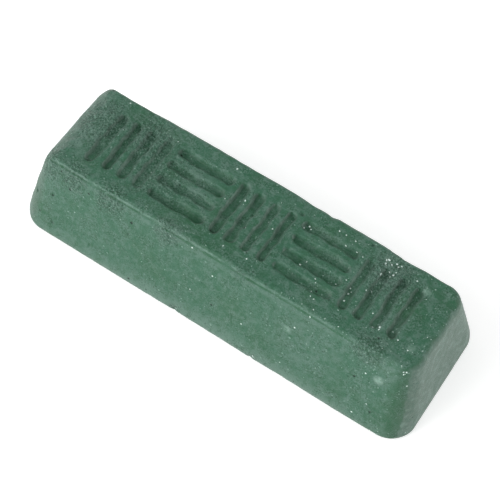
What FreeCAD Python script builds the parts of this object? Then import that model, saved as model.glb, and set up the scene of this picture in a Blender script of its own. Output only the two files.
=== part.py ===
"""Buffing compound bar: one small block of wax-bound abrasive, cast in an open mould.

The bar lies on its broad poured face. Its four walls lean inwards with the mould's draft, up to the
narrower face that lay on the mould's floor. The mould is rounder across its two ends than along its
sides, and its corners open out towards the poured face. The moulded face carries a row of plain sunk
bars, in square groups that turn crosswise and lengthwise by turns. The poured face sank a little as
the wax set.

+X runs along the bar, +Y across it and +Z up. The origin is the middle of the face it lies on.
"""

import FreeCAD, Part
import math
import os

import Sketcher

SHEET = "Dimensions"
PART_NAME = "compound_bar"

# How a sketch names the points of its geometry, and its own origin.
START, END, CENTRE = 1, 2, 3
ORIGIN = (-1, 1)

# A wall faces an axis when its normal has at least this share of it.
FACING_SHARE = 0.9

# Driving dimensions: alias, value in millimetres or degrees, and what it is.
DIMENSIONS = [
    ("bar_length", 80.0, "overall length, at the rounded edge of the poured face"),
    ("bar_width", 28.0, "overall width, at the rounded edge of the poured face"),
    ("bar_height", 17.5, "from the poured face to the moulded face"),
    ("end_draft", 10.0, "lean of the two ends, in degrees"),
    ("side_draft", 17.3, "lean of the two long sides, in degrees"),
    ("poured_corner", 5.2, "radius of the four climbing corners at the poured face"),
    ("moulded_corner", 3.0, "radius of the four climbing corners at the moulded face"),
    ("end_edge", 4.0, "radius of the moulded face's edge along the two ends"),
    ("side_edge", 1.2, "radius of the moulded face's edge along the two long sides"),
    ("poured_edge", 1.2, "radius of the edge round the poured face"),
    ("sink_rim", 3.6, "from the outline to the mouth of the sink in the poured face"),
    ("sink_slope", 4.2, "width of the slope from that rim down to the sink's floor"),
    ("sink_corner", 3.2, "plan radius of the sink's corners"),
    ("sink_depth", 0.5, "how far the middle of the poured face sank"),
    ("group_size", 11.0, "side of one square group of sunk bars"),
    ("group_gap", 1.6, "space from one group to the next"),
    ("crosswise_groups", 3, "groups whose bars run across the face"),
    ("bars_per_group", 4, "sunk bars in one group"),
    ("mark_width", 1.5, "width of one sunk bar at the face"),
    ("mark_depth", 0.9, "depth of one sunk bar"),
    ("mark_draft", 12.0, "lean of a sunk bar's walls, in degrees"),
]


def add_sheet(doc):
    """The spreadsheet that drives every size, one row for each dimension."""
    sheet = doc.addObject("Spreadsheet::Sheet", SHEET)
    for row, (alias, value, meaning) in enumerate(DIMENSIONS, start=1):
        sheet.set(f"A{row}", alias)
        sheet.set(f"B{row}", str(value))
        sheet.set(f"C{row}", meaning)
        sheet.setAlias(f"B{row}", alias)
    doc.recompute()
    return sheet


def origin_feature(body, role):
    """One of the body's own origin planes or axes, found by its role."""
    return next(f for f in body.Origin.OriginFeatures if f.Role == role)


def add_sketch(body, name, height=None):
    """A sketch parallel to the poured face, raised by an expression where one is given."""
    sketch = body.newObject("Sketcher::SketchObject", name)
    sketch.AttachmentSupport = [(origin_feature(body, "XY_Plane"), "")]
    sketch.MapMode = "FlatFace"
    if height:
        sketch.setExpression("AttachmentOffset.Base.z", height)
    return sketch


def size_from_sheet(sketch, kind, where, start_value, name, expression):
    """Adds one dimension to a sketch and binds it to the sheet."""
    index = sketch.addConstraint(Sketcher.Constraint(kind, *where, start_value))
    sketch.renameConstraint(index, name)
    sketch.setExpression(f"Constraints.{name}", expression)


def corner_arc(x, y, radius, start_degrees):
    """A quarter circle that turns anticlockwise from start_degrees."""
    circle = Part.Circle(FreeCAD.Vector(x, y, 0), FreeCAD.Vector(0, 0, 1), radius)
    start = math.radians(start_degrees)
    return Part.ArcOfCircle(circle, start, start + math.pi / 2)


def rounded_rectangle(sketch, length, width, radius, start_sizes):
    """A rectangle centred on the origin with four equal rounded corners.

    length, width and radius are expressions; start_sizes are the numbers that it is drawn with.
    """
    half_x, half_y = start_sizes[0] / 2, start_sizes[1] / 2
    r = start_sizes[2]
    inner_x, inner_y = half_x - r, half_y - r
    point = FreeCAD.Vector
    bottom = sketch.addGeometry(Part.LineSegment(point(-inner_x, -half_y, 0), point(inner_x, -half_y, 0)))
    right = sketch.addGeometry(Part.LineSegment(point(half_x, -inner_y, 0), point(half_x, inner_y, 0)))
    top = sketch.addGeometry(Part.LineSegment(point(inner_x, half_y, 0), point(-inner_x, half_y, 0)))
    left = sketch.addGeometry(Part.LineSegment(point(-half_x, inner_y, 0), point(-half_x, -inner_y, 0)))
    arcs = [
        sketch.addGeometry(corner_arc(inner_x, -inner_y, r, 270)),
        sketch.addGeometry(corner_arc(inner_x, inner_y, r, 0)),
        sketch.addGeometry(corner_arc(-inner_x, inner_y, r, 90)),
        sketch.addGeometry(corner_arc(-inner_x, -inner_y, r, 180)),
    ]
    lines = [bottom, right, top, left]
    for n, arc in enumerate(arcs):
        after = lines[(n + 1) % len(lines)]
        sketch.addConstraint(Sketcher.Constraint("Tangent", lines[n], END, arc, START))
        sketch.addConstraint(Sketcher.Constraint("Tangent", arc, END, after, START))
    sketch.addConstraint(Sketcher.Constraint("Horizontal", bottom))
    sketch.addConstraint(Sketcher.Constraint("Horizontal", top))
    sketch.addConstraint(Sketcher.Constraint("Vertical", right))
    sketch.addConstraint(Sketcher.Constraint("Vertical", left))
    for arc in arcs[1:]:
        sketch.addConstraint(Sketcher.Constraint("Equal", arcs[0], arc))
    sketch.addConstraint(
        Sketcher.Constraint("Symmetric", arcs[0], CENTRE, arcs[2], CENTRE, *ORIGIN)
    )
    size_from_sheet(sketch, "DistanceX", (left, END, right, START), 2 * half_x, "length", length)
    size_from_sheet(sketch, "DistanceY", (bottom, START, top, END), 2 * half_y, "width", width)
    size_from_sheet(sketch, "Radius", (arcs[0],), r, "radius", radius)


def sunk_bar(sketch, crosswise, start_sizes):
    """The outline of one sunk bar: straight sides and round ends, the first bar of a square group.

    A crosswise bar runs along Y and is the group's lowest in X; a lengthwise bar runs along X and is
    its lowest in Y. The group is centred on the sketch's origin.
    """
    size, width = start_sizes
    r = width / 2
    reach = size / 2 - r
    offset = -reach
    point = FreeCAD.Vector
    if crosswise:
        near = Part.LineSegment(point(offset + r, -reach, 0), point(offset + r, reach, 0))
        far = Part.LineSegment(point(offset - r, reach, 0), point(offset - r, -reach, 0))
        first = Part.Circle(point(offset, reach, 0), point(0, 0, 1), r)
        second = Part.Circle(point(offset, -reach, 0), point(0, 0, 1), r)
        turn = 0.0
    else:
        near = Part.LineSegment(point(-reach, offset - r, 0), point(reach, offset - r, 0))
        far = Part.LineSegment(point(reach, offset + r, 0), point(-reach, offset + r, 0))
        first = Part.Circle(point(reach, offset, 0), point(0, 0, 1), r)
        second = Part.Circle(point(-reach, offset, 0), point(0, 0, 1), r)
        turn = -math.pi / 2
    side_a = sketch.addGeometry(near)
    end_a = sketch.addGeometry(Part.ArcOfCircle(first, turn, turn + math.pi))
    side_b = sketch.addGeometry(far)
    end_b = sketch.addGeometry(Part.ArcOfCircle(second, turn + math.pi, turn + 2 * math.pi))
    loop = [side_a, end_a, side_b, end_b]
    for n, piece in enumerate(loop):
        after = loop[(n + 1) % len(loop)]
        sketch.addConstraint(Sketcher.Constraint("Tangent", piece, END, after, START))
    sketch.addConstraint(Sketcher.Constraint("Vertical" if crosswise else "Horizontal", side_a))
    along, across = ("DistanceY", "DistanceX") if crosswise else ("DistanceX", "DistanceY")
    # The two end centres are as far apart as the group is wide, less one bar.
    far_end, near_end = (end_a, CENTRE), (end_b, CENTRE)
    half_reach = f"({SHEET}.group_size - {SHEET}.mark_width) / 2"
    size_from_sheet(sketch, along, (*ORIGIN, *far_end), reach, "reach_up", half_reach)
    size_from_sheet(sketch, along, (*near_end, *ORIGIN), reach, "reach_down", half_reach)
    size_from_sheet(sketch, across, (*near_end, *ORIGIN), reach, "first_bar", half_reach)
    size_from_sheet(sketch, "Radius", (end_a,), r, "radius", f"{SHEET}.mark_width / 2")


def plain_rectangle(sketch, length, width, start_sizes):
    """A sharp rectangle centred on the origin; length and width are expressions."""
    half_x, half_y = start_sizes[0] / 2, start_sizes[1] / 2
    corners = [(-half_x, -half_y), (half_x, -half_y), (half_x, half_y), (-half_x, half_y)]
    points = [FreeCAD.Vector(x, y, 0) for x, y in corners]
    sides = [
        sketch.addGeometry(Part.LineSegment(points[n], points[(n + 1) % len(points)]))
        for n in range(len(points))
    ]
    for n, side in enumerate(sides):
        after = sides[(n + 1) % len(sides)]
        sketch.addConstraint(Sketcher.Constraint("Coincident", side, END, after, START))
        sketch.addConstraint(Sketcher.Constraint("Vertical" if n % 2 else "Horizontal", side))
    near, right, far, left = sides
    sketch.addConstraint(Sketcher.Constraint("Symmetric", near, START, far, START, *ORIGIN))
    size_from_sheet(sketch, "DistanceX", (near, START, near, END), 2 * half_x, "length", length)
    size_from_sheet(sketch, "DistanceY", (right, START, right, END), 2 * half_y, "width", width)


def walls_facing(shape, axis):
    """Names of the walls that face along one level axis, 0 for X and 1 for Y."""
    names = []
    for number, face in enumerate(shape.Faces, start=1):
        if abs(face.normalAt(0, 0)[axis]) > FACING_SHARE:
            names.append(f"Face{number}")
    return names


def lean_walls(body, name, base, axis, angle):
    """Leans the two walls that face along one axis inwards from the poured face."""
    draft = body.newObject("PartDesign::Draft", name)
    draft.Base = (base, walls_facing(base.Shape, axis))
    draft.NeutralPlane = (origin_feature(body, "XY_Plane"), [""])
    draft.setExpression("Angle", angle)
    body.Document.recompute()
    if not draft.Shape.Volume < base.Shape.Volume:
        raise RuntimeError(f"{name} leans outwards")
    return draft


def edge_overhang(sheet_name, draft):
    """How far a wall's sharp foot lies outside its rounded one, as an expression."""
    return f"{sheet_name}.poured_edge * (tan(45 + {sheet_name}.{draft} / 2) - 1)"


def drafted_block(doc, sheet):
    """The sharp-edged block: a pad from the poured face with two pairs of leaning walls."""
    body = doc.addObject("PartDesign::Body", "DraftedBlock")
    outline = add_sketch(body, "PouredOutline")
    plain_rectangle(
        outline,
        f"{SHEET}.bar_length + 2 * {edge_overhang(SHEET, 'end_draft')}",
        f"{SHEET}.bar_width + 2 * {edge_overhang(SHEET, 'side_draft')}",
        (sheet.bar_length, sheet.bar_width),
    )
    doc.recompute()
    block = body.newObject("PartDesign::Pad", "Block")
    block.Profile = outline
    block.setExpression("Length", f"{SHEET}.bar_height")
    doc.recompute()
    ends = lean_walls(body, "EndDraft", block, 0, f"{SHEET}.end_draft")
    lean_walls(body, "SideDraft", ends, 1, f"{SHEET}.side_draft")
    return body


def edge_radii(edge, sheet):
    """The radii at the start and the end of one of the block's edges."""
    box = edge.BoundBox
    if box.ZLength > sheet.bar_height / 2:
        radii = (sheet.poured_corner, sheet.moulded_corner)
        starts_low = edge.valueAt(edge.FirstParameter).z < sheet.bar_height / 2
        return radii if starts_low else radii[::-1]
    if box.ZMax < sheet.bar_height / 2:
        return (sheet.poured_edge, sheet.poured_edge)
    radius = sheet.end_edge if box.YLength > box.XLength else sheet.side_edge
    return (radius, radius)


def rounded_block(doc, sheet, block):
    """The block with all its edges rounded at once, each by its own radius."""
    rounded = doc.addObject("Part::Fillet", "RoundedBlock")
    rounded.Base = block
    numbered = enumerate(block.Shape.Edges, start=1)
    rounded.Edges = [(number, *edge_radii(edge, sheet)) for number, edge in numbered]
    doc.recompute()
    return rounded


def sink_poured_face(body, sheet):
    """The shallow hollow that shrinkage leaves in the poured face, inside a flat rim."""
    levels = [
        ("SinkMouth", None, f"{SHEET}.sink_rim", sheet.sink_rim),
        (
            "SinkFloor",
            f"{SHEET}.sink_depth",
            f"{SHEET}.sink_rim + {SHEET}.sink_slope",
            sheet.sink_rim + sheet.sink_slope,
        ),
    ]
    sketches = []
    for name, height, inset, start_inset in levels:
        sketch = add_sketch(body, name, height)
        rounded_rectangle(
            sketch,
            f"{SHEET}.bar_length - 2 * ({inset})",
            f"{SHEET}.bar_width - 2 * ({inset})",
            f"{SHEET}.sink_corner",
            (
                sheet.bar_length - 2 * start_inset,
                sheet.bar_width - 2 * start_inset,
                sheet.sink_corner,
            ),
        )
        sketches.append(sketch)
    body.Document.recompute()
    hollow = body.newObject("PartDesign::SubtractiveLoft", "PouredSink")
    hollow.Profile = sketches[0]
    hollow.Sections = sketches[1:]
    hollow.Ruled = True
    body.Document.recompute()
    return hollow


def line_pattern(body, name, direction, length, occurrences):
    """A row of copies along an origin axis, for use inside a multi-transform."""
    pattern = body.newObject("PartDesign::LinearPattern", name)
    pattern.Direction = (origin_feature(body, direction), [""])
    pattern.setExpression("Length", length)
    pattern.setExpression("Occurrences", occurrences)
    return pattern


def sink_groups(body, sheet, crosswise):
    """Cuts the first bar of the first group of one kind, then repeats it within and between groups."""
    kind = "Crosswise" if crosswise else "Lengthwise"
    groups = f"{SHEET}.crosswise_groups" if crosswise else f"({SHEET}.crosswise_groups - 1)"
    pitch = f"({SHEET}.group_size + {SHEET}.group_gap)"
    first_group = f"-({groups} - 1) * {pitch}"
    sketch = add_sketch(body, f"{kind}Bar", f"{SHEET}.bar_height")
    sketch.setExpression("AttachmentOffset.Base.x", first_group)
    sunk_bar(sketch, crosswise, (sheet.group_size, sheet.mark_width))
    body.Document.recompute()
    pocket = body.newObject("PartDesign::Pocket", f"{kind}Pocket")
    pocket.Profile = sketch
    pocket.setExpression("Length", f"{SHEET}.mark_depth")
    pocket.setExpression("TaperAngle", f"-{SHEET}.mark_draft")
    body.Document.recompute()
    before = pocket.Shape.Volume
    within = line_pattern(
        body,
        f"{kind}InGroup",
        "X_Axis" if crosswise else "Y_Axis",
        f"{SHEET}.group_size - {SHEET}.mark_width",
        f"{SHEET}.bars_per_group",
    )
    between = line_pattern(body, f"{kind}Groups", "X_Axis", f"2 * ({groups} - 1) * {pitch}", groups)
    every = body.newObject("PartDesign::MultiTransform", f"{kind}Marks")
    every.Originals = [pocket]
    every.Transformations = [within, between]
    body.Tip = every
    body.Document.recompute()
    if not every.Shape.Volume < before:
        raise RuntimeError(f"{kind} marks cut nothing")
    return every


def make_bar(doc, sheet):
    """The whole bar: the rounded block, sunk below and marked above."""
    rounded = rounded_block(doc, sheet, drafted_block(doc, sheet))
    body = doc.addObject("PartDesign::Body", "CompoundBar")
    body.Label = PART_NAME
    body.Placement = FreeCAD.Placement()
    body.BaseFeature = rounded
    doc.recompute()
    sink_poured_face(body, sheet)
    sink_groups(body, sheet, crosswise=True)
    sink_groups(body, sheet, crosswise=False)
    return body


def check(doc, parts):
    """Stops if any object failed to compute or any sub-part is not one valid closed solid."""
    for item in doc.Objects:
        if "Invalid" in item.State or "Error" in item.State:
            raise RuntimeError(f"{item.Label} did not compute: {item.State}")
    for part in parts:
        shape = part.Shape
        if shape.isNull() or not shape.isValid() or len(shape.Solids) != 1:
            raise RuntimeError(f"{part.Label} is not one valid solid")


def main():
    doc = FreeCAD.newDocument("BuffingCompoundBar")
    sheet = add_sheet(doc)
    parts = [make_bar(doc, sheet)]
    doc.recompute()
    check(doc, parts)
    os.makedirs("parts", exist_ok=True)
    for part in parts:
        part.Shape.exportStep(os.path.join("parts", part.Label + ".step"))
        box = part.Shape.optimalBoundingBox()
        print(part.Label, round(box.XLength, 3), round(box.YLength, 3), round(box.ZLength, 3))
        print("volume", round(part.Shape.Volume, 1), "faces", len(part.Shape.Faces))


main()
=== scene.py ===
"""The look of the buffing compound bar: one dense, slightly worn mesh round the CAD bar, and its light.

The mesh starts as a grid over a sharp-edged drafted block. Each point is moved along a ray onto the
rounded bar, and then waves, dents, sunk bars and the sink in the poured face are pressed into it.
Lengths are in millimetres in the bar's own frame, and become metres when the mesh is made.
"""

import math

import bpy
import numpy as np
from mathutils import Matrix, Vector


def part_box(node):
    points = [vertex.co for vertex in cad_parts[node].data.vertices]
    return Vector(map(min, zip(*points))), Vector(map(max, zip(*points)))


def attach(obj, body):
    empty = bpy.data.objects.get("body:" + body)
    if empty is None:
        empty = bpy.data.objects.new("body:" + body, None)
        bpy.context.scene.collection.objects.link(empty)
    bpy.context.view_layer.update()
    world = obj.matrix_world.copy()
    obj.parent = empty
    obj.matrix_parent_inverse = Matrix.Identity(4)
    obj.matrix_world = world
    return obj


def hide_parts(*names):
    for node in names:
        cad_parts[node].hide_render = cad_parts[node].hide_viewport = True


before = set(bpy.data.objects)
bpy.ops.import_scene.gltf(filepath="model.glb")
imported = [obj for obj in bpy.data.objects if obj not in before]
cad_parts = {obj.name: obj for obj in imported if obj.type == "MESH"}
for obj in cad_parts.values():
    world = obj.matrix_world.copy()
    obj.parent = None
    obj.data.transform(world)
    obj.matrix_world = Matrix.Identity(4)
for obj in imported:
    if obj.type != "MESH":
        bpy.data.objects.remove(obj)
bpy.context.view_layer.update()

NODE = "compound_bar"
MM = 0.001

# The bar, from the frame, and its angles and radii. A pair is for the left and the right end.
BAR_LOW, BAR_HIGH = (np.array(corner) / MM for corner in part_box(NODE))
LENGTH, WIDTH, HEIGHT = BAR_HIGH - BAR_LOW
END_DRAFT = (math.radians(10.3), math.radians(11.0))
SIDE_DRAFT = math.radians(17.3)
POURED_CORNER = (5.2, 5.0)
MOULDED_CORNER = (2.0, 3.4)
END_EDGE = (3.8, 1.3)
SIDE_EDGE = 0.6
POURED_EDGE = 1.2

# Round a corner the side's edge radius becomes the end's: over this length, and this far of the way
# at the corner itself.
EDGE_CHANGE = 5.0
EDGE_CHANGE_AT_CORNER = 0.6

# The sunk bars on the moulded face. A pair is the least and the most that a share may be.
GROUPS = 5
BARS_PER_GROUP = 4
GROUP_SIZE = 11.0
GROUP_GAP = 1.6
MARK_WIDTH = 1.5
MARK_DEPTH = 0.86
MARK_SOFTNESS = 0.32
MARK_FULLNESS = (0.78, 1.0)
MARK_WIDTH_SHARE = (0.95, 1.15)
MARK_DEPTH_SHARE = (0.7, 1.3)

# The seam under each long top edge: a shallow groove with a low bead above and below it. Its place is
# measured from the edge, negative down the wall. The beads' places and widths are in groove widths.
SEAM_GROOVE = -0.95
SEAM_DEPTH = 0.09
SEAM_WIDTH = 0.24
SEAM_BEADS = ((2.2, 1.0), (-2.4, 1.5))
BEAD_SHARE = 0.45
SEAM_MEAN = 0.8
SEAM_SHARE = (0.1, 1.4)

# The sink in the poured face.
SINK_RIM = 3.6
SINK_SLOPE = 4.2
SINK_DEPTH = 0.5

# The mesh: cells along and across the moulded face. The underside's cells are COARSER times as large.
CELLS_ALONG = 408
CELLS_ACROSS = 102
COARSER = 3

# Rings of points round the walls, in runs from the moulded face down: the first and last depth below
# it, and how many. Then the rings on the underside and its grid, as distances inside the sharp foot.
WALL_RINGS = (
    (0.12, 2.22, 15),
    (2.9, HEIGHT - 1.6, 20),
    (HEIGHT - 1.3, HEIGHT, 5),
)
UNDERSIDE_RINGS = (0.35, 0.75, 1.2)
UNDERSIDE_GRID = 1.8

# The core that the rays start from, as distances from the bar's own, and how far past the sharp block a
# ray may end. Each halving brings its point closer to the rounded bar.
CORE_INSET = 9.0
CORE_HALF_HEIGHT = 3.0
CORE_DROP = 1.0
RAY_REACH = 1.02
HALVINGS = 28

# A face lies flat where the share of Z in its facing is over the first value, fully so past the change.
FLAT_FACING = 0.8
FLAT_CHANGE = 0.15

# Random waves. Each kind has a wavelength, a height or a share, and a seed.
SEED = 7
WAVES_ADDED = 24
CAST_WAVES = ((13.0, 0.04, 1), (3.5, 0.02, 2))
FACE_LUMPS = ((2.2, 0.035, 3), (1.1, 0.015, 5))
CRUMB_LUMPS = ((0.8, 0.035, 4),)
MARK_WANDER_ALONG = ((5.0, 0.06, 11),)
MARK_WANDER_ACROSS = ((5.0, 0.06, 12),)
MARK_WIDTH_WAVES = ((2.5, 0.07, 13),)
MARK_DEPTH_WAVES = ((3.0, 0.12, 14),)
SEAM_WANDER = ((4.0, 0.10, 21),)
SEAM_WAVES = ((2.5, 0.35, 22),)

# Worn hollows and pinholes: the middle of each, its reach and its depth.
HOLLOWS = (
    ((-30.0, 8.6, 17.5), 4.5, 0.22),
    ((7.0, 8.6, 17.5), 2.2, 0.22),
    ((25.5, 8.6, 17.5), 3.4, 0.42),
    ((32.5, 8.2, 17.3), 3.2, 0.38),
    ((10.5, 8.9, 17.2), 0.9, 0.30),
    ((-6.3, -13.9, 0.9), 0.55, 0.30),
    ((9.8, -13.9, 0.6), 0.50, 0.22),
)
PINHOLES = (
    ((6.0, 6.2, 17.5), 0.34, 0.45),
    ((-0.7, 1.5, 17.5), 0.30, 0.40),
    ((-20.7, 6.0, 17.5), 0.36, 0.35),
    ((-21.4, 2.0, 17.5), 0.26, 0.30),
    ((19.0, 8.0, 17.4), 0.34, 0.35),
    ((-37.3, -11.2, 7.6), 0.30, 0.35),
    ((-33.7, -11.4, 9.6), 0.26, 0.30),
    ((-32.9, -13.3, 3.6), 0.34, 0.35),
    ((-24.8, -13.3, 3.6), 0.22, 0.30),
    ((-18.0, -11.0, 11.0), 0.22, 0.30),
)

# Patches of colour: the middle of each, its reach and its strength. A patch has its full strength over
# this share of its reach.
PATCH_CORE = 0.25
DEEP_PATCHES_AND_CORNER_SHADE = (
    ((-10.8, -6.0, 17.5), 5.0, 0.85),
    ((-27.0, 7.5, 17.5), 4.5, 0.70),
    ((-17.0, 0.5, 17.5), 3.5, 0.50),
    ((12.0, 5.5, 17.5), 3.5, 0.50),
    ((30.5, 0.5, 17.5), 4.5, 0.75),
    ((35.0, 6.0, 17.0), 4.0, 0.70),
    # The next two are painted shade along the near right corner.
    ((37.6, -10.6, 9.0), 5.5, 0.95),
    ((35.5, -12.6, 3.0), 5.5, 0.70),
    ((-0.9, -6.6, 17.5), 4.0, 0.65),
    ((-30.5, -6.0, 17.5), 3.0, 0.45),
)
PALE_PATCHES = (
    ((-35.5, -3.0, 17.2), 8.0, 0.95),
    ((-35.0, 4.0, 17.0), 5.5, 0.80),
    ((-37.0, -9.5, 14.0), 6.5, 0.45),
    ((-11.1, -9.0, 16.6), 4.0, 0.45),
    ((18.0, -11.3, 10.5), 10.0, 0.45),
    ((32.2, -10.7, 12.1), 1.7, 0.95),
    ((14.5, -10.8, 11.5), 1.7, 0.80),
    ((24.0, 4.8, 17.5), 4.8, 0.75),
    ((29.0, -3.8, 17.5), 4.0, 0.70),
    ((-11.5, 0.8, 17.5), 4.5, 0.65),
    ((32.8, -9.8, 15.5), 3.2, 0.75),
)

# Places with scratches, with crumbly grain and with soft chalky smudges, in the same form.
SCRAPES = (
    ((-35.3, 1.0, 16.9), 7.5, 0.60),
    ((-34.0, 6.5, 16.9), 4.5, 0.45),
    ((23.6, 6.8, 17.5), 3.2, 1.00),
    ((29.1, 0.4, 17.5), 2.4, 0.55),
    ((31.0, 5.4, 17.5), 1.8, 0.80),
    ((34.0, -5.2, 17.4), 1.6, 0.60),
    ((-12.0, 0.5, 17.5), 3.0, 0.35),
)
CRUMBS = (
    ((-36.0, -9.0, 15.5), 5.0, 1.0),
    ((-22.7, -9.5, 15.7), 4.5, 1.0),
    ((-11.1, -9.3, 16.2), 4.0, 1.0),
    ((4.0, -9.2, 16.8), 4.0, 0.5),
    ((28.5, -8.9, 16.9), 4.5, 1.0),
    ((24.5, 5.0, 17.5), 7.0, 1.0),
    ((-33.0, 2.0, 17.5), 7.5, 0.9),
    ((-24.0, 4.0, 17.5), 7.0, 0.9),
    ((-18.0, -1.0, 17.5), 9.0, 0.6),
    ((-30.5, -9.4, 15.8), 4.5, 1.0),
    ((-6.3, -13.9, 0.9), 1.6, 1.0),
    ((10.0, -13.9, 0.9), 1.4, 1.0),
)
SMUDGES = (
    ((14.2, -10.9, 11.3), 1.1, 0.60),
    ((31.8, -10.6, 12.2), 1.2, 0.90),
    ((31.0, 5.4, 17.5), 1.1, 0.50),
    ((34.0, -5.2, 17.4), 1.0, 0.40),
    ((-5.9, -14.0, 1.2), 0.5, 1.00),
    ((10.4, -14.0, 1.1), 0.4, 0.80),
)

# Painted glints, white specks in the colour: the middles of single ones, the reach of each, and the
SINGLE_GLINTS = (
    (-6.0, -9.4, 16.2),
    (-1.1, -10.4, 12.9),
    (6.4, -12.3, 6.7),
    (15.4, -10.5, 12.5),
    (29.4, -10.7, 12.1),
    (34.9, -9.0, 16.3),
    (36.3, -9.4, 13.3),
    (-29.6, 2.5, 17.5),
    # The last two whiten the small chips at the foot.
    (-6.6, -14.0, 1.3),
    (10.2, -14.0, 1.4),
)
GLINT_REACH = 0.21
BRIGHT_SPOTS = (
    ((16.6, -6.7, 17.5), 1.1, 1.0),
    ((19.4, -8.1, 17.4), 0.7, 0.7),
    ((23.4, 6.1, 17.5), 2.6, 0.8),
    ((28.6, 6.7, 17.5), 0.9, 0.9),
    ((27.1, -5.0, 17.5), 0.9, 0.8),
    ((35.1, -9.0, 16.2), 0.8, 0.7),
)

# A pinhole's painted shade reaches a little further than its depth does.
PINHOLE_COLOUR_REACH = 1.1

# Colours of the compound, linear: deep green, also used as painted shade, to chalk, the right end's
# painted sheen, the left end's painted shade, the foot's paler tone, the shade between grains, the
# painted shade in pinholes and painted glints.
GREEN = (0.036, 0.124, 0.073, 1)
DEEP_AND_SHADE = (0.021, 0.098, 0.043, 1)
DUSTY = (0.105, 0.190, 0.150, 1)
PALE = (0.160, 0.275, 0.220, 1)
CHALKY = (0.220, 0.350, 0.285, 1)
END_SHEEN = (0.132, 0.188, 0.160, 1)
LEFT_END_SHADE = (0.070, 0.085, 0.078, 1)
FOOT_PALE = (0.158, 0.246, 0.206, 1)
SHADE = (0.016, 0.062, 0.034, 1)
PINHOLE_SHADE = (0.008, 0.028, 0.018, 1)
WHITE = (0.70, 0.84, 0.79, 1)

# Noise in the material: the size of its largest shapes, and its detail, roughness and swirl.
DRIFT_NOISE = {"size": 9.0, "detail": 3.0}
CLOUD_NOISE = {"size": 4.5, "detail": 6.0, "roughness": 0.68}
PATCH_EDGE_NOISE = {"size": 1.7, "detail": 5.0, "roughness": 0.65, "swirl": 0.8}
STREAK_NOISE = {"size": 0.7, "detail": 4.0, "roughness": 0.6}
SCRATCH_NOISE = {"size": 0.55, "detail": 3.0, "roughness": 0.7, "swirl": 0.5}
SMEAR_NOISE = {"size": 1.3, "detail": 5.0, "roughness": 0.72, "swirl": 1.2}
SMEAR_CROWDING = {"size": 5.0, "detail": 2.0}
MOTTLE_NOISE = {"size": 1.2, "detail": 4.0, "roughness": 0.6}
SEAM_NOISE = {"size": 0.8, "detail": 3.0, "roughness": 0.6}
SEAM_GAP_NOISE = {"size": 1.6, "detail": 3.0}
SEAM_CRUMB_NOISE = {"size": 0.5, "detail": 2.0}
GRAIN_NOISE = {"size": 0.30, "detail": 4.0, "roughness": 0.8}
GRAIN_CROWDING = {"size": 2.2, "detail": 3.0}
LUMP_NOISE = {"size": 0.36, "detail": 2.0, "roughness": 0.6}
FLECK_CROWDING = {"size": 3.0, "detail": 3.0}
GLINT_CROWDING = {"size": 4.5, "detail": 2.0}
SMUDGE_EDGE_NOISE = {"size": 0.8, "detail": 4.0, "roughness": 0.65}
END_SHEEN_EDGE_NOISE = {"size": 1.1, "detail": 3.0}
END_SHEEN_BLOTCH_NOISE = {"size": 1.0, "detail": 3.0, "roughness": 0.55}

# How a pattern is stretched: a factor below 1 makes it longer along that axis, and a negative one
# mirrors it, so that it doesn't lie where its like does.
STREAK_STRETCH = (1.0, 1.0, 0.10)
SCRATCH_STRETCH = (1.5, 0.35, 1.0)
SMEAR_STRETCH = (0.40, 1.0, 1.0)
FLAW_STRETCH = (1.1, -1.1, 1.1)
BRIGHT_STRETCH = (-1.0, 1.0, 1.0)

# Specks: about one in each spacing cubed, the radius of the largest, and how far small ones outnumber
# large ones. The cells that place them are turned from the axes, in radians, and bent to ragged shapes.
FLECKS = {"spacing": 0.55, "size": 0.17}
FLAWS = {"spacing": 0.7, "size": 0.20}
GLINTS = {"spacing": 0.55, "size": 0.18, "skew": 2.2}
BRIGHT_GLINTS = {"spacing": 0.50, "size": 0.26}
PITS = {"spacing": 1.5, "size": 0.24}
SPECK_EDGE = 0.03
SPECK_TURN = (0.61, 0.42, 0.87)
SPECK_BEND = (0.30, 0.30, 0.30)
SPECK_BEND_NOISE = {"Scale": 3.2, "Detail": 1.0}

# Lines along the seam: the middle of each, measured as the groove is, and its half width. A line has
# its full strength over this share of its width. The shadow is painted shade in the groove, and the
# edge line is a painted highlight.
SEAM_BAND = (-1.60, 0.80)
SEAM_SHADOW = (SEAM_GROOVE, 0.28)
EDGE_HIGHLIGHT = (-0.35, 0.30)
LINE_CORE = 0.3
LINE_WOBBLE = 0.30

# Changes over the bar: from one place, height or depth to another, and the share at each of the two.
SEAM_FADE = (22.0, 33.0, 1.0, 0.15)
EDGE_HIGHLIGHT_LEFTWARD = (20.0, -10.0, 0.5, 1.0)
FOOT_PALE_DOWNWARD = (5.0, 0.2, 0.0, 0.75)
FOOT_PALE_AT_LEFT = (-30.0, -10.0, 0.40, 1.0)
FOOT_PALE_AT_RIGHT = (18.0, 34.0, 1.0, 0.45)
FLECKS_RIGHTWARD = (4.0, 24.0, 0.0, 0.30)
GLINTS_RIGHTWARD = (-14.0, 24.0, 0.03, 0.42)
PITS_LEFTWARD = (10.0, -36.0, 0.05, 0.30)
MARK_SHADING = (0.12, 0.65, 0.0, 0.32)

# The right end's painted sheen starts at this share of +X in a surface's facing, which wobbles by this
# much. Its edge is crisp at the standing corners and soft above them.
END_SHEEN_FACING = 0.62
END_SHEEN_WOBBLE = 0.22
END_SHEEN_CRISP = 0.10
END_SHEEN_SOFT = 0.22

# Heights of the fine relief that the material adds, and its least and most roughness.
GRAIN_RELIEF = 0.09
CLOUD_RELIEF = 0.15
PIT_RELIEF = -0.15
EDGE_LINE_RELIEF = 0.03
FLECK_RELIEF = 0.03
LUMP_RELIEF = 0.10
ROUGHNESS = (0.36, 0.52)

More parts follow.
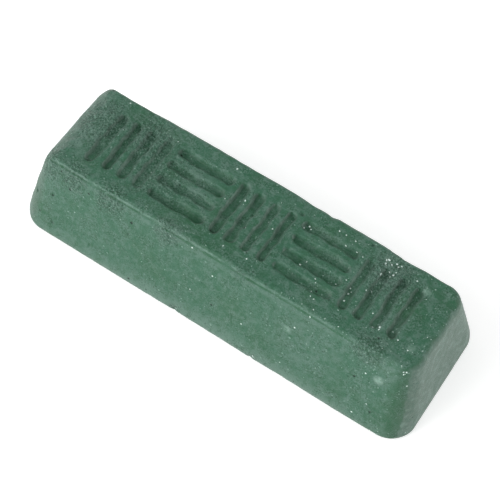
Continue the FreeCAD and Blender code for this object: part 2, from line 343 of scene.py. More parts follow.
# The camera that sees the bar as the photo does, fitted to the photo's 500 pixel frame. Its angles are
# in degrees.
FRAME_PIXELS = 500
FOCAL_PIXELS = 1500.0
CAMERA_AZIMUTH = 26.30
CAMERA_ELEVATION = 60.16
CAMERA_ROLL = 7.61
CAMERA_DISTANCE = 259.9
CAMERA_AIM = (0.378, -0.53, 9.06)
SENSOR_WIDTH = 36.0
CLIP_START = 10.0

# Light, set so that a colour renders about as written: white walls, a dimmer ceiling and two lamps. The
# walls end and the ceiling starts at these shares of Z. The lamps and the floor are in metres.
WALL_LIGHT = 1.06
CEILING_LIGHT = 0.47
WALL_TOP = 0.15
CEILING_FOOT = 0.5
KEY_AZIMUTH = -42
KEY_POWER = 7.6
FILL_AZIMUTH = 120
FILL_POWER = 2.45
LAMP_ELEVATION = 28
LAMP_DISTANCE = 0.9
LAMP_SIZE = 0.7
FLOOR_HALF = 1.5
FLOOR_GREY = 0.85
FLOOR_LIFT = 0.45


def foot_overhang(draft):
    """How far a wall's sharp foot lies outside its rounded one."""
    return POURED_EDGE * (math.tan(math.pi / 4 + draft / 2) - 1)


FOOT_X = LENGTH / 2 + max(foot_overhang(draft) for draft in END_DRAFT)
FOOT_Y = WIDTH / 2 + foot_overhang(SIDE_DRAFT)


def smooth_step(values):
    """0 below 0, 1 above 1, and a smooth rise between."""
    t = np.clip(values, 0, 1)
    return t * t * (3 - 2 * t)


def ripple(points, wavelength, seed):
    """Smooth random waves through space, with a mean of 0 and a spread of 1."""
    draw = np.random.default_rng(SEED * 1000 + seed)
    directions = draw.normal(size=(WAVES_ADDED, 3))
    directions /= np.linalg.norm(directions, axis=1)[:, None]
    lengths = wavelength * draw.uniform(0.7, 1.5, WAVES_ADDED)
    phases = draw.uniform(0, 2 * math.pi, WAVES_ADDED)
    angles = points @ (directions * (2 * math.pi / lengths)[:, None]).T + phases
    return np.cos(angles).sum(axis=1) / math.sqrt(WAVES_ADDED / 2)


def ripples(points, kinds):
    """Some kinds of random waves, added up."""
    return sum(height * ripple(points, wavelength, seed) for wavelength, height, seed in kinds)


def between_ends(points, pair):
    """A value that changes smoothly from the left end's to the right end's."""
    left, right = pair
    return left + (right - left) * smooth_step(points[:, 0] / (LENGTH / 2) + 0.5)


def wall_distances(points):
    """Distances from the leaning ends and from the leaning sides, positive outside."""
    x, y, z = np.abs(points[:, 0]), np.abs(points[:, 1]), points[:, 2]
    draft = between_ends(points, END_DRAFT)
    end = (x - FOOT_X) * np.cos(draft) + z * np.sin(draft)
    side = (y - FOOT_Y) * math.cos(SIDE_DRAFT) + z * math.sin(SIDE_DRAFT)
    return end, side


def round_join(first, second, radius):
    """Distance from the space inside two surfaces whose shared edge is rounded."""
    reach = np.hypot(np.maximum(radius + first, 0), np.maximum(radius + second, 0))
    return np.minimum(np.maximum(first, second), -radius) + reach


def wall_distance(points):
    """Distance from the four walls with their rounded corners."""
    end, side = wall_distances(points)
    climb = np.clip(points[:, 2] / HEIGHT, 0, 1)
    poured = between_ends(points, POURED_CORNER)
    moulded = between_ends(points, MOULDED_CORNER)
    return round_join(end, side, poured + (moulded - poured) * climb)


def end_share(points):
    """1 near the ends, 0 near the long sides, and a smooth change at the corners."""
    end, side = wall_distances(points)
    return smooth_step((end - side) / EDGE_CHANGE + EDGE_CHANGE_AT_CORNER)


def bar_distance(points):
    """Distance from the rounded bar, positive outside."""
    top_edge = SIDE_EDGE + (between_ends(points, END_EDGE) - SIDE_EDGE) * end_share(points)
    topped = round_join(wall_distance(points), points[:, 2] - HEIGHT, top_edge)
    return round_join(topped, -points[:, 2], POURED_EDGE)


def outward(points, step=0.02):
    """Unit vectors straight out of the rounded bar, where its distance grows fastest."""
    slopes = []
    for axis in range(3):
        shift = np.zeros(3)
        shift[axis] = step
        slopes.append(bar_distance(points + shift) - bar_distance(points - shift))
    slopes = np.stack(slopes, axis=1)
    return slopes / np.linalg.norm(slopes, axis=1)[:, None]


def onto_bar(sharp):
    """Moves each point of the sharp block onto the rounded bar, along a ray from a smaller core."""
    core_half = np.array([LENGTH / 2 - CORE_INSET, WIDTH / 2 - CORE_INSET, CORE_HALF_HEIGHT])
    core_centre = np.array([0, 0, HEIGHT / 2 - CORE_DROP])
    core = core_centre + np.clip(sharp - core_centre, -core_half, core_half)
    near, far = np.zeros(len(sharp)), np.ones(len(sharp)) * RAY_REACH
    for _ in range(HALVINGS):
        middle = (near + far) / 2
        inside = bar_distance(core + (sharp - core) * middle[:, None]) < 0
        near = np.where(inside, middle, near)
        far = np.where(inside, far, middle)
    return core + (sharp - core) * near[:, None]


def block_half(height):
    """Half length and half width of the sharp drafted block at a height."""
    return FOOT_X - height * math.tan(min(END_DRAFT)), FOOT_Y - height * math.tan(SIDE_DRAFT)


def ring_of_grid(along, across):
    """Column and row numbers of a grid's rim, once round."""
    near = [(i, 0) for i in range(along)]
    right = [(along, j) for j in range(across)]
    far = [(i, across) for i in range(along, 0, -1)]
    left = [(0, j) for j in range(across, 0, -1)]
    return near + right + far + left


def grid_quads(start, along, across, upward):
    """The faces of a grid whose points are numbered row by row from start."""
    row = along + 1
    faces = []
    for j in range(across):
        for i in range(along):
            a = start + j * row + i
            quad = (a, a + 1, a + 1 + row, a + row)
            faces.append(quad if upward else quad[::-1])
    return faces


def ring_sizes():
    """Half length, half width and height of each ring, from under the moulded face to the underside."""
    depths = np.concatenate([np.linspace(*run) for run in WALL_RINGS])
    rings = [(*block_half(HEIGHT - depth), HEIGHT - depth) for depth in depths]
    return rings + [(FOOT_X - inset, FOOT_Y - inset, 0.0) for inset in UNDERSIDE_RINGS]


def block_grid():
    """Points and faces of the sharp block: top grid, wall rings, underside rings and a coarser grid."""
    fx = np.linspace(-1, 1, CELLS_ALONG + 1)
    fy = np.linspace(-1, 1, CELLS_ACROSS + 1)
    grid_x, grid_y = np.meshgrid(fx, fy)
    half_x, half_y = block_half(HEIGHT)
    top_z = np.full(grid_x.size, HEIGHT)
    parts = [np.stack([grid_x.ravel() * half_x, grid_y.ravel() * half_y, top_z], axis=1)]
    faces = grid_quads(0, CELLS_ALONG, CELLS_ACROSS, upward=True)

    rim = ring_of_grid(CELLS_ALONG, CELLS_ACROSS)
    rim_x = np.array([fx[i] for i, _ in rim])
    rim_y = np.array([fy[j] for _, j in rim])
    above = np.array([j * (CELLS_ALONG + 1) + i for i, j in rim])
    count = len(rim)
    start = grid_x.size
    for ring_x, ring_y, z in ring_sizes():
        parts.append(np.stack([rim_x * ring_x, rim_y * ring_y, np.full(count, z)], axis=1))
        ring = start + np.arange(count)
        after = np.roll(ring, -1)
        faces += list(zip(above, ring, after, np.roll(above, -1)))
        above = ring
        start += count

    along, across = CELLS_ALONG // COARSER, CELLS_ACROSS // COARSER
    inner_x, inner_y = FOOT_X - UNDERSIDE_GRID, FOOT_Y - UNDERSIDE_GRID
    under_x, under_y = np.meshgrid(fx[::COARSER] * inner_x, fy[::COARSER] * inner_y)
    parts.append(np.stack([under_x.ravel(), under_y.ravel(), np.zeros(under_x.size)], axis=1))
    inner = [start + j * (along + 1) + i for i, j in ring_of_grid(along, across)]
    for n, point in enumerate(inner):
        outer = [above[(n * COARSER + k) % count] for k in range(COARSER + 1)]
        faces.append((*outer[::-1], point, inner[(n + 1) % len(inner)]))
    faces += grid_quads(start, along, across, upward=False)
    return np.concatenate(parts), faces


def bar_lines():
    """Both ends of each sunk bar's middle line, in the moulded face's plane."""
    reach = (GROUP_SIZE - MARK_WIDTH) / 2
    offsets = np.linspace(-reach, reach, BARS_PER_GROUP)
    lines = []
    for group in range(GROUPS):
        centre = (group - (GROUPS - 1) / 2) * (GROUP_SIZE + GROUP_GAP)
        for offset in offsets:
            if group % 2:
                lines.append(((centre - reach, offset), (centre + reach, offset)))
            else:
                lines.append(((centre + offset, -reach), (centre + offset, reach)))
    return lines


def distance_to_line(points, start, end):
    """Distance in the plane from a stretch of line."""
    start, end = np.array(start), np.array(end)
    along = end - start
    t = np.clip((points - start) @ along / (along @ along), 0, 1)
    return np.linalg.norm(points - start - t[:, None] * along, axis=1)


def mark_depths(points):
    """How deep the sunk bars are at each point: soft-edged, a little wavy and unevenly filled."""
    plan = points[:, :2].copy()
    plan[:, 0] += ripples(points, MARK_WANDER_ALONG)
    plan[:, 1] += ripples(points, MARK_WANDER_ACROSS)
    width_change = ripples(points, MARK_WIDTH_WAVES)
    draw = np.random.default_rng(SEED)
    depths = np.zeros(len(points))
    for start, end in bar_lines():
        fullness = draw.uniform(*MARK_FULLNESS)
        half = MARK_WIDTH / 2 * draw.uniform(*MARK_WIDTH_SHARE)
        inside = half + width_change - distance_to_line(plan, start, end)
        groove = smooth_step(inside / (2 * MARK_SOFTNESS) + 0.5) * fullness
        depths = np.maximum(depths, groove)
    return MARK_DEPTH * depths * np.clip(1 + ripples(points, MARK_DEPTH_WAVES), *MARK_DEPTH_SHARE)


def seam_depths(points, edge, ends):
    """How deep the seam is at each point: negative on its beads, and less where it fades."""
    across = (edge + ripples(points, SEAM_WANDER) - SEAM_GROOVE) / SEAM_WIDTH
    groove = np.exp(-across * across)
    beads = sum(np.exp(-((across - place) / width) ** 2) for place, width in SEAM_BEADS)
    strength = np.clip(SEAM_MEAN + ripples(points, SEAM_WAVES), *SEAM_SHARE)
    fade_from, fade_to, full, left_over = SEAM_FADE
    fade = full + (left_over - full) * smooth_step((points[:, 0] - fade_from) / (fade_to - fade_from))
    return SEAM_DEPTH * (groove - BEAD_SHARE * beads) * strength * (1 - ends) * fade


def near_places(points, places):
    """The strongest of some round patches with soft edges, as a number for each point."""
    found = np.zeros(len(points))
    for middle, reach, strength in places:
        away = np.linalg.norm(points - np.array(middle), axis=1) / reach
        found = np.maximum(found, strength * smooth_step((1 - away) / (1 - PATCH_CORE)))
    return found


def sink_rise(points):
    """How far the poured face has sunk into the bar at each point."""
    inset = -wall_distance(points * np.array([1, 1, 0]))
    return SINK_DEPTH * smooth_step((inset - SINK_RIM) / SINK_SLOPE)


def hollow_depths(points):
    """How deep the worn hollows and pinholes are at each point."""
    depths = np.zeros(len(points))
    for middle, reach, depth in HOLLOWS + PINHOLES:
        away = np.linalg.norm(points - np.array(middle), axis=1) / reach
        depths += depth * np.exp(-away * away)
    return depths


def lies_flat(upward):
    """1 where a face lies flat, by the share of up or down in its facing, and 0 where it is steep."""
    return smooth_step((upward - FLAT_FACING) / FLAT_CHANGE)


def build_points(sharp):
    """The worn bar's points, with what the material needs to know at each."""
    points = onto_bar(sharp)
    normals = outward(points)
    walls = wall_distance(points)
    below_top = HEIGHT - points[:, 2]
    edge, ends = -walls - below_top, end_share(points)
    waves = ripples(points, CAST_WAVES)
    crumbs = ripples(points, CRUMB_LUMPS) * near_places(points, CRUMBS)
    pressed = hollow_depths(points) + seam_depths(points, edge, ends)
    points = points + normals * (waves + crumbs - pressed)[:, None]
    on_top = lies_flat(normals[:, 2])
    lumps = ripples(points, FACE_LUMPS)
    marks = mark_depths(points) * on_top
    points[:, 2] -= marks + lumps * on_top
    points[:, 2] += sink_rise(points) * lies_flat(-normals[:, 2])
    values = {"edge_mm": edge, "end_share": ends, "mark_mm": marks}
    return np.clip(points, BAR_LOW, BAR_HIGH), values


def make_mesh(name, points, faces, values):
    """A smooth mesh in metres, with one named number for each point in values."""
    mesh = bpy.data.meshes.new(name)
    mesh.from_pydata((points * MM).tolist(), [], [tuple(int(n) for n in face) for face in faces])
    mesh.validate()
    mesh.shade_smooth()
    for key, numbers in values.items():
        mesh.attributes.new(key, "FLOAT", "POINT").data.foreach_set("value", numbers.astype(np.float32))
    piece = bpy.data.objects.new(name, mesh)
    bpy.context.scene.collection.objects.link(piece)
    return piece


class Nodes:
    """Short calls that add shader nodes to one material and link them."""

    def __init__(self, owner):
        owner.use_nodes = True
        self.tree = owner.node_tree
        self.tree.nodes.clear()

    def add(self, kind, inputs=None, **settings):
        node = self.tree.nodes.new("ShaderNode" + kind)
        for key, value in settings.items():
            setattr(node, key, value)
        for key, value in (inputs or {}).items():
            self.feed(node.inputs[key], value)
        return node

    def feed(self, socket, value):
        if isinstance(value, bpy.types.NodeSocket):
            self.tree.links.new(value, socket)
        else:
            socket.default_value = value

    def math(self, operation, first, second=0.0, third=0.0):
        return self.add("Math", {0: first, 1: second, 2: third}, operation=operation).outputs[0]

    def times(self, first, *others):
        for other in others:
            first = self.math("MULTIPLY", first, other)
        return first

    def one_less(self, value):
        return self.math("SUBTRACT", 1.0, value)

    def noise(self, where, size, detail=2.0, roughness=0.5, swirl=0.0):
        inputs = {
            "Vector": where,
            "Scale": 1 / size,
            "Detail": detail,
            "Roughness": roughness,
            "Distortion": swirl,
        }
        return self.add("TexNoise", inputs).outputs["Fac"]

    def span(self, value, low, high, to_low=0.0, to_high=1.0):
        inputs = {"Value": value, "From Min": low, "From Max": high, "To Min": to_low, "To Max": to_high}
        return self.add("MapRange", inputs, clamp=True, interpolation_type="SMOOTHSTEP").outputs[0]

    def blend(self, amount, first, second):
        node = self.add("Mix", {"Factor": amount}, data_type="RGBA")
        self.feed(node.inputs[6], first)
        self.feed(node.inputs[7], second)
        return node.outputs[2]

    def named(self, name):
        return self.add("Attribute", attribute_name=name).outputs["Fac"]


def grey(value):
    """An opaque grey."""
    return (value, value, value, 1)


def specks(nodes, where, share, spacing, size, skew=1.0):
    """Scattered specks with ragged outlines, 1 inside: only a share of the cells holds one.

    A higher skew leaves more small specks for each large one. The cells are turned so that their rows
    don't line up with the bar's faces.
    """
    turn = {"Vector": where, "Rotation": SPECK_TURN}
    turned = nodes.add("VectorRotate", turn, rotation_type="EULER_XYZ").outputs[0]
    wobble = nodes.add("TexNoise", {"Vector": turned, **SPECK_BEND_NOISE}).outputs["Color"]
    bend = {0: wobble, 1: SPECK_BEND, 2: turned}
    bent = nodes.add("VectorMath", bend, operation="MULTIPLY_ADD").outputs[0]
    inputs = {"Vector": bent, "Scale": 1 / spacing, "Randomness": 1.0}
    cells = nodes.add("TexVoronoi", inputs, feature="F1")
    chance = nodes.add("SeparateColor", {"Color": cells.outputs["Color"]})
    radius = nodes.times(nodes.math("POWER", chance.outputs[1], skew), size / spacing)
    kept = nodes.math("LESS_THAN", chance.outputs[0], share)
    inside = nodes.math("SUBTRACT", radius, cells.outputs["Distance"])
    return nodes.times(nodes.span(inside, -SPECK_EDGE, SPECK_EDGE), kept)


def ridge(nodes, across, middle, half_width):
    """1 along a thin line where the distance across it equals middle, and 0 beside it."""
    offset = nodes.math("ABSOLUTE", nodes.math("SUBTRACT", across, middle))
    return nodes.span(offset, half_width, LINE_CORE * half_width)


def patches(nodes, where, places):
    """The strongest of some round patches with soft edges."""
    found = 0.0
    for middle, reach, strength in places:
        away = nodes.add("VectorMath", {0: where, 1: middle}, operation="DISTANCE").outputs["Value"]
        found = nodes.math("MAXIMUM", nodes.span(away, reach, PATCH_CORE * reach, 0.0, strength), found)
    return found


def stretched(nodes, where, factors):
    """Coordinates that stretch a pattern, or mirror it."""
    return nodes.add("VectorMath", {0: where, 1: factors}, operation="MULTIPLY").outputs[0]


def base_layer(nodes, where):
    """Slow drift between two greens with clouds of dust, and the noise behind the clouds."""
    drift = nodes.noise(where, **DRIFT_NOISE)
    colour = nodes.blend(nodes.span(drift, 0.50, 0.70, to_high=0.7), GREEN, DEEP_AND_SHADE)
    cloud = nodes.noise(where, **CLOUD_NOISE)
    return nodes.blend(nodes.span(cloud, 0.50, 0.75, to_high=0.35), colour, DUSTY), cloud


def patch_layer(nodes, where, colour):
    """Deep patches, two of them painted shade at the near right corner, and dusty ones with ragged edges."""
    colour = nodes.blend(nodes.times(patches(nodes, where, DEEP_PATCHES_AND_CORNER_SHADE), 0.8), colour, DEEP_AND_SHADE)
    ragged = nodes.span(nodes.noise(where, **PATCH_EDGE_NOISE), 0.36, 0.60)
    return nodes.blend(nodes.times(patches(nodes, where, PALE_PATCHES), ragged), colour, DUSTY)


def streak_layer(nodes, where, on_wall, colour):
    """Dusty streaks down the walls."""
    streaks = nodes.noise(stretched(nodes, where, STREAK_STRETCH), **STREAK_NOISE)
    return nodes.blend(nodes.times(nodes.span(streaks, 0.45, 0.72, to_high=0.45), on_wall), colour, DUSTY)


def smear_layer(nodes, where, on_top, colour):
    """Chalky scratches in the scraped places, and dusty smears, most of them on top."""
    scratches = nodes.noise(stretched(nodes, where, SCRATCH_STRETCH), **SCRATCH_NOISE)
    scraped = nodes.times(nodes.span(scratches, 0.50, 0.64), patches(nodes, where, SCRAPES), 0.65)
    colour = nodes.blend(scraped, colour, CHALKY)
    smears = nodes.noise(stretched(nodes, where, SMEAR_STRETCH), **SMEAR_NOISE)
    crowded = nodes.span(nodes.noise(where, **SMEAR_CROWDING), 0.40, 0.60, 0.15, 1.0)
    upward = nodes.span(on_top, 0.0, 1.0, 0.40, 1.0)
    smeared = nodes.times(nodes.span(smears, 0.50, 0.64, to_high=0.75), crowded, upward)
    return nodes.blend(smeared, colour, DUSTY)


def foot_layer(nodes, x, height, on_wall, colour):
    """A paler colour at the foot of the walls, less of it towards the ends."""
    foot = nodes.times(nodes.span(height, *FOOT_PALE_DOWNWARD), on_wall)
    foot = nodes.times(foot, nodes.span(x, *FOOT_PALE_AT_LEFT), nodes.span(x, *FOOT_PALE_AT_RIGHT))
    return nodes.blend(foot, colour, FOOT_PALE)


def mottle_layer(nodes, where, colour):
    """Small dusty and deep mottles."""
    mottle = nodes.noise(where, **MOTTLE_NOISE)
    colour = nodes.blend(nodes.span(mottle, 0.50, 0.66, to_high=0.50), colour, DUSTY)
    return nodes.blend(nodes.span(mottle, 0.50, 0.34, to_high=0.50), colour, DEEP_AND_SHADE)


def end_layer(nodes, where, facing, on_wall, colour):
    """Blotchy painted sheen on the right end, returned too, and painted shade next to it and on the left
    end.
    """
    wobble = nodes.math("SUBTRACT", nodes.noise(where, **END_SHEEN_EDGE_NOISE), 0.5)
    rightward = nodes.math("MULTIPLY_ADD", wobble, END_SHEEN_WOBBLE, facing[0])
    crisp = nodes.span(rightward, END_SHEEN_FACING, END_SHEEN_FACING + END_SHEEN_CRISP)
    soft = nodes.span(rightward, END_SHEEN_FACING - END_SHEEN_SOFT, END_SHEEN_FACING + END_SHEEN_SOFT)
    above = nodes.span(facing[2], 0.22, 0.50)
    film = nodes.math("MULTIPLY_ADD", nodes.math("SUBTRACT", soft, crisp), above, crisp)
    # Painted shade on the walls as they turn towards the right end, outside the sheen.
    beside = nodes.times(nodes.span(facing[0], 0.05, 0.40), nodes.one_less(film), on_wall)
    colour = nodes.blend(nodes.times(beside, 0.55), colour, DEEP_AND_SHADE)
    # Painted shade on surfaces that face the left end.
    leftward = nodes.span(facing[0], -0.05, -0.50)
    colour = nodes.blend(nodes.times(leftward, 0.32), colour, LEFT_END_SHADE)
    # Painted sheen: a grey veil on the right end, with lighter and darker blotches in it.
    colour = nodes.blend(nodes.times(film, 0.62), colour, END_SHEEN)
    blotch = nodes.noise(where, **END_SHEEN_BLOTCH_NOISE)
    lighter = nodes.times(nodes.span(blotch, 0.50, 0.68), film)
    colour = nodes.blend(nodes.times(lighter, 0.35), colour, CHALKY)
    darker = nodes.times(nodes.span(blotch, 0.50, 0.34), film)
    return nodes.blend(nodes.times(darker, 0.40), colour, GREEN), film


def grain_layer(nodes, where, crumbly, calm, colour):
    """Fine dusty and dark grain, stronger in the crumbly places and weak where calm; returned too."""
    grain = nodes.noise(where, **GRAIN_NOISE)
    strong = nodes.span(nodes.noise(where, **GRAIN_CROWDING), 0.42, 0.64, 0.18, 0.85)
    strong = nodes.times(nodes.math("MULTIPLY_ADD", crumbly, 0.55, strong), calm)
    colour = nodes.blend(nodes.times(nodes.span(grain, 0.48, 0.62), strong), colour, DUSTY)
    return nodes.blend(nodes.times(nodes.span(grain, 0.50, 0.36), strong), colour, SHADE), grain


def crumb_layer(nodes, where, x, crumbly, calm, colour):
    """Lumps in the crumbly places, pale flecks and dark flaws, and the relief of them all."""
    lumpy = nodes.noise(where, **LUMP_NOISE)
    raised = nodes.times(nodes.span(lumpy, 0.53, 0.64), crumbly)
    colour = nodes.blend(nodes.times(raised, 0.65), colour, PALE)
    sunken = nodes.times(nodes.span(lumpy, 0.47, 0.36), crumbly)
    colour = nodes.blend(nodes.times(sunken, 0.62), colour, SHADE)
    share = nodes.span(nodes.noise(where, **FLECK_CROWDING), 0.46, 0.62, 0.03, 0.45)
    share = nodes.math("MULTIPLY_ADD", crumbly, 0.60, share)
    share = nodes.times(nodes.math("ADD", share, nodes.span(x, *FLECKS_RIGHTWARD)), calm)
    flecks = specks(nodes, where, share, **FLECKS)
    colour = nodes.blend(nodes.times(flecks, 0.9), colour, PALE)
    flaws = specks(nodes, stretched(nodes, where, FLAW_STRETCH), share, **FLAWS)
    colour = nodes.blend(nodes.times(flaws, 0.75), colour, SHADE)
    bits = nodes.times(nodes.math("SUBTRACT", flecks, flaws), FLECK_RELIEF)
    relief = nodes.math("MULTIPLY_ADD", nodes.math("SUBTRACT", raised, sunken), LUMP_RELIEF, bits)
    return colour, relief


def seam_layer(nodes, where, x, colour):
    """The seam: a dusty band, painted shade in its groove and a thin painted highlight at the edge, returned
    too.
    """
    wobble = nodes.math("SUBTRACT", nodes.noise(where, **SEAM_NOISE), 0.5)
    across = nodes.math("MULTIPLY_ADD", wobble, LINE_WOBBLE, nodes.named("edge_mm"))
    long_side = nodes.span(nodes.named("end_share"), 0.35, 0.05)
    gaps = nodes.span(nodes.noise(where, **SEAM_GAP_NOISE), 0.36, 0.58, 0.20, 1.0)
    shown = nodes.times(gaps, long_side, nodes.span(x, *SEAM_FADE))
    band = nodes.times(ridge(nodes, across, *SEAM_BAND), nodes.times(shown, 0.45))
    colour = nodes.blend(band, colour, DUSTY)
    # Painted shade along the groove.
    groove = nodes.times(ridge(nodes, across, *SEAM_SHADOW), shown, 0.70)
    colour = nodes.blend(groove, colour, DEEP_AND_SHADE)
    # Painted highlight: a thin pale line along the very edge, broken and stronger to the left.
    leftward = nodes.times(shown, nodes.span(x, *EDGE_HIGHLIGHT_LEFTWARD))
    crumbled = nodes.span(nodes.noise(where, **SEAM_CRUMB_NOISE), 0.40, 0.56, 0.45, 1.0)
    line = nodes.times(ridge(nodes, across, *EDGE_HIGHLIGHT), leftward, crumbled)
    return nodes.blend(nodes.times(line, 0.75), colour, PALE), line


def smudge_layer(nodes, where, colour):
    """Soft chalky smudges and chips."""
    ragged = nodes.span(nodes.noise(where, **SMUDGE_EDGE_NOISE), 0.36, 0.56, 0.35, 1.0)
    return nodes.blend(nodes.times(patches(nodes, where, SMUDGES), ragged), colour, CHALKY)


def glint_layer(nodes, where, x, on_top, film, colour):
    """Painted glints as white specks: fine ones mostly on top and to the right, crowded spots and single
    ones.
    """
    crowded = nodes.span(nodes.noise(where, **GLINT_CROWDING), 0.44, 0.60, 0.06, 1.0)
    upward = nodes.span(on_top, 0.0, 1.0, 0.20, 1.0)
    off_sheen = nodes.span(film, 0.0, 1.0, 1.0, 0.15)
    share = nodes.times(nodes.span(x, *GLINTS_RIGHTWARD), crowded, upward, off_sheen)
    colour = nodes.blend(nodes.times(specks(nodes, where, share, **GLINTS), 0.85), colour, WHITE)
    spots = nodes.times(patches(nodes, where, BRIGHT_SPOTS), 0.9)
    bright = specks(nodes, stretched(nodes, where, BRIGHT_STRETCH), spots, **BRIGHT_GLINTS)
    colour = nodes.blend(bright, colour, WHITE)
    singles = tuple((place, GLINT_REACH, 1.0) for place in SINGLE_GLINTS)
    return nodes.blend(patches(nodes, where, singles), colour, WHITE)


def pit_layer(nodes, where, x, colour):
    """Painted shade in pinholes, returned too: scattered ones, most of them to the left, and those in the
    mesh.
    """
    pits = specks(nodes, where, nodes.span(x, *PITS_LEFTWARD), **PITS)
    in_mesh = tuple((middle, PINHOLE_COLOUR_REACH * reach, 1.0) for middle, reach, _ in PINHOLES)
    pits = nodes.math("MAXIMUM", pits, patches(nodes, where, in_mesh))
    return nodes.blend(nodes.times(pits, 0.92), colour, PINHOLE_SHADE), pits


def compound_material():
    """Wax-bound abrasive: dull green with drift, dust, grain, streaks and pinholes; painted glints, sheen
    and shade.
    """
    material = bpy.data.materials.new("green_compound")
    nodes = Nodes(material)
    place = nodes.add("TexCoord").outputs["Object"]
    where = nodes.add("VectorMath", {0: place, 3: 1 / MM}, operation="SCALE").outputs[0]
    x, _, z = nodes.add("SeparateXYZ", {0: where}).outputs
    facing = nodes.add("SeparateXYZ", {0: nodes.add("TexCoord").outputs["Normal"]}).outputs
    on_top = nodes.span(facing[2], 0.5, 0.9)
    on_wall = nodes.one_less(on_top)

    colour, cloud = base_layer(nodes, where)
    colour = patch_layer(nodes, where, colour)
    colour = streak_layer(nodes, where, on_wall, colour)
    colour = smear_layer(nodes, where, on_top, colour)
    colour = foot_layer(nodes, x, z, on_wall, colour)
    colour = mottle_layer(nodes, where, colour)
    # Painted shade in the sunk bars, darker the deeper they are.
    colour = nodes.blend(nodes.span(nodes.named("mark_mm"), *MARK_SHADING), colour, DEEP_AND_SHADE)
    colour, film = end_layer(nodes, where, facing, on_wall, colour)
    crumbly = patches(nodes, where, CRUMBS)
    calm = nodes.span(film, 0.0, 1.0, 1.0, 0.20)
    colour, grain = grain_layer(nodes, where, crumbly, calm, colour)
    colour, relief = crumb_layer(nodes, where, x, crumbly, calm, colour)
    colour, line = seam_layer(nodes, where, x, colour)
    colour = smudge_layer(nodes, where, colour)
    colour = glint_layer(nodes, where, x, on_top, film, colour)
    colour, pits = pit_layer(nodes, where, x, colour)

    height = nodes.math("MULTIPLY_ADD", grain, GRAIN_RELIEF, nodes.times(pits, PIT_RELIEF))
    height = nodes.math("MULTIPLY_ADD", cloud, CLOUD_RELIEF, height)
    height = nodes.math("MULTIPLY_ADD", line, EDGE_LINE_RELIEF, height)
    height = nodes.math("ADD", height, relief)
    bump = nodes.add("Bump", {"Height": height, "Distance": MM, "Strength": 1.0})
    shader = nodes.add("BsdfPrincipled", {
        "Base Color": colour,
        "Roughness": nodes.span(grain, 0.3, 0.7, *ROUGHNESS),
        "Normal": bump.outputs[0],
        "Specular IOR Level": 0.28,
        "Sheen Weight": 0.03,
        "Sheen Roughness": 0.40,
    })
    nodes.add("OutputMaterial", {"Surface": shader.outputs[0]})
    return material


def white_seen(nodes):
    """1 for rays that see white whatever the light: from the camera, reflections and clear things."""
    rays = nodes.add("LightPath").outputs
    seen = nodes.math("MAXIMUM", rays["Is Camera Ray"], rays["Is Glossy Ray"])
    return nodes.math("MAXIMUM", seen, rays["Is Transmission Ray"])


def floor_material():
    """A matt pale floor, lifted to white where the camera or a reflection sees it."""
    material = bpy.data.materials.new("pale_floor")
    nodes = Nodes(material)
    matt = nodes.add("BsdfDiffuse", {"Color": grey(FLOOR_GREY)})
    glow = nodes.span(white_seen(nodes), 0.0, 1.0, 0.0, FLOOR_LIFT)
    lift = nodes.add("Emission", {"Color": grey(1.0), "Strength": glow})
    both = nodes.add("AddShader", {0: matt.outputs[0], 1: lift.outputs[0]})
    nodes.add("OutputMaterial", {"Surface": both.outputs[0]})
    return material


def make_floor():
    """A plain square floor under the bar."""
    half = FLOOR_HALF
    corners = [(-half, -half, 0), (half, -half, 0), (half, half, 0), (-half, half, 0)]
    mesh = bpy.data.meshes.new("floor")
    mesh.from_pydata(corners, [], [(0, 1, 2, 3)])
    floor = bpy.data.objects.new("floor", mesh)
    bpy.context.scene.collection.objects.link(floor)
    mesh.materials.append(floor_material())


def direction(azimuth, elevation):
    """The way from the bar to something seen at that azimuth and elevation, in degrees."""
    a, e = math.radians(azimuth), math.radians(elevation)
    return Vector((math.sin(a) * math.cos(e), -math.cos(a) * math.cos(e), math.sin(e)))


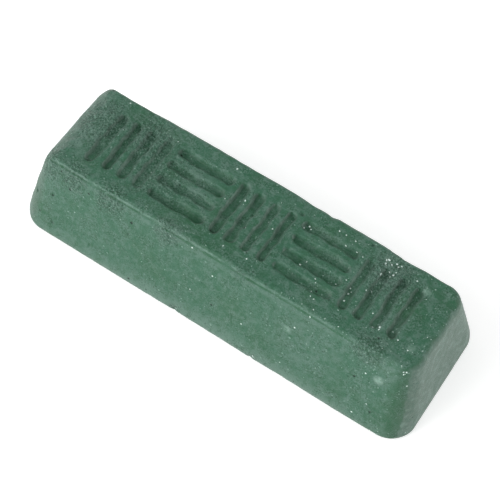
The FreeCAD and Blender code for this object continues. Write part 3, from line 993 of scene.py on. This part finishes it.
def make_camera():
    """The photo's camera, with no shift and no blur."""
    back = direction(CAMERA_AZIMUTH, CAMERA_ELEVATION)
    right = Vector((0, 0, 1)).cross(back).normalized()
    up = back.cross(right)
    roll = math.radians(CAMERA_ROLL)
    turned_right = right * math.cos(roll) + up * math.sin(roll)
    turned_up = up * math.cos(roll) - right * math.sin(roll)
    place = (Vector(CAMERA_AIM) + back * CAMERA_DISTANCE) * MM
    data = bpy.data.cameras.new("camera")
    data.sensor_width = SENSOR_WIDTH
    data.lens = FOCAL_PIXELS / FRAME_PIXELS * SENSOR_WIDTH
    data.clip_start = CLIP_START * MM
    camera = bpy.data.objects.new("camera", data)
    bpy.context.scene.collection.objects.link(camera)
    turn = Matrix((turned_right, turned_up, back)).transposed().to_4x4()
    camera.matrix_world = Matrix.Translation(place) @ turn
    bpy.context.scene.camera = camera


def softbox(name, azimuth, power):
    """A square area light that faces the bar."""
    data = bpy.data.lights.new(name, "AREA")
    data.shape = "SQUARE"
    data.size = LAMP_SIZE
    data.energy = power
    lamp = bpy.data.objects.new(name, data)
    bpy.context.scene.collection.objects.link(lamp)
    towards = direction(azimuth, LAMP_ELEVATION)
    lamp.location = towards * LAMP_DISTANCE
    lamp.rotation_euler = towards.to_track_quat("Z", "Y").to_euler()


def light_studio():
    """A plain room with white walls, a large soft lamp at the front left and a weaker one at the right."""
    world = bpy.data.worlds.new("studio")
    bpy.context.scene.world = world
    nodes = Nodes(world)
    upward = nodes.add("SeparateXYZ", {0: nodes.add("TexCoord").outputs["Generated"]}).outputs[2]
    strength = nodes.span(upward, WALL_TOP, CEILING_FOOT, WALL_LIGHT, CEILING_LIGHT)
    sky = nodes.add("Background", {"Color": grey(1.0), "Strength": strength})
    nodes.add("OutputWorld", {"Surface": sky.outputs[0]})
    softbox("key", KEY_AZIMUTH, KEY_POWER)
    softbox("fill", FILL_AZIMUTH, FILL_POWER)


def make_bar():
    """The worn bar in place of the CAD node."""
    sharp, faces = block_grid()
    points, values = build_points(sharp)
    piece = make_mesh("cast_bar", points, faces, values)
    piece.data.materials.append(compound_material())
    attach(piece, "root")
    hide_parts(NODE)


make_camera()
make_bar()
make_floor()
light_studio()
bpy.context.scene.view_settings.view_transform = "Standard"
